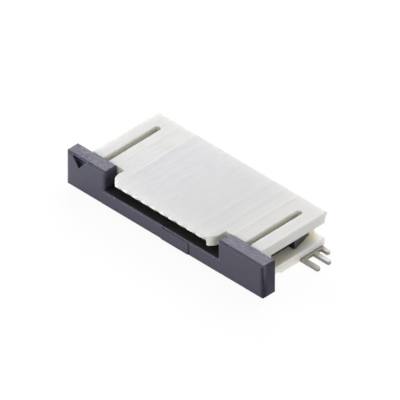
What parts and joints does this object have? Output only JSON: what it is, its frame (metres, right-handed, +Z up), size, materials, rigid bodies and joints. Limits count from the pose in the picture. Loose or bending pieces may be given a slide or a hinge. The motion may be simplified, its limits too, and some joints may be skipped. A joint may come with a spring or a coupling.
{
  "type": "fpc connector",
  "caption": "Right-angle surface-mount connector for a flat cable: white housing with a front tongue, dark sliding lock with two ears, fork contacts and side solder nails.",
  "frame": {"origin": "on the board surface, at the middle of the overall footprint with the slider home", "axes": "+X along the row of contacts, away from the marked first contact; +Y from the cable's side to the solder tails; +Z up from the board"},
  "size_m": [0.011, 0.0052, 0.0018],
  "materials": {
    "housing": "moulded glass-filled liquid-crystal polymer, fine matt",
    "slider": "moulded glass-filled polyphenylene sulphide, fine matt",
    "contacts": "stamped phosphor bronze, matt tin plating",
    "nails": "stamped brass, matt tin plating"
  },
  "bodies": {
    "base": {"housing": "housing", "contact_01": "contacts", "contact_02": "contacts", "contact_03": "contacts", "contact_04": "contacts", "contact_05": "contacts", "contact_06": "contacts", "contact_07": "contacts", "contact_08": "contacts", "contact_09": "contacts", "contact_10": "contacts", "fitting_nail_left": "nails", "fitting_nail_right": "nails"},
    "lock": {"slider": "slider"}
  },
  "joints": [
    {"name": "slider_slide", "type": "slide", "parent": "base", "child": "lock", "axis": [0, -1, 0], "range_m": [0, 0.0015]}
  ]
}
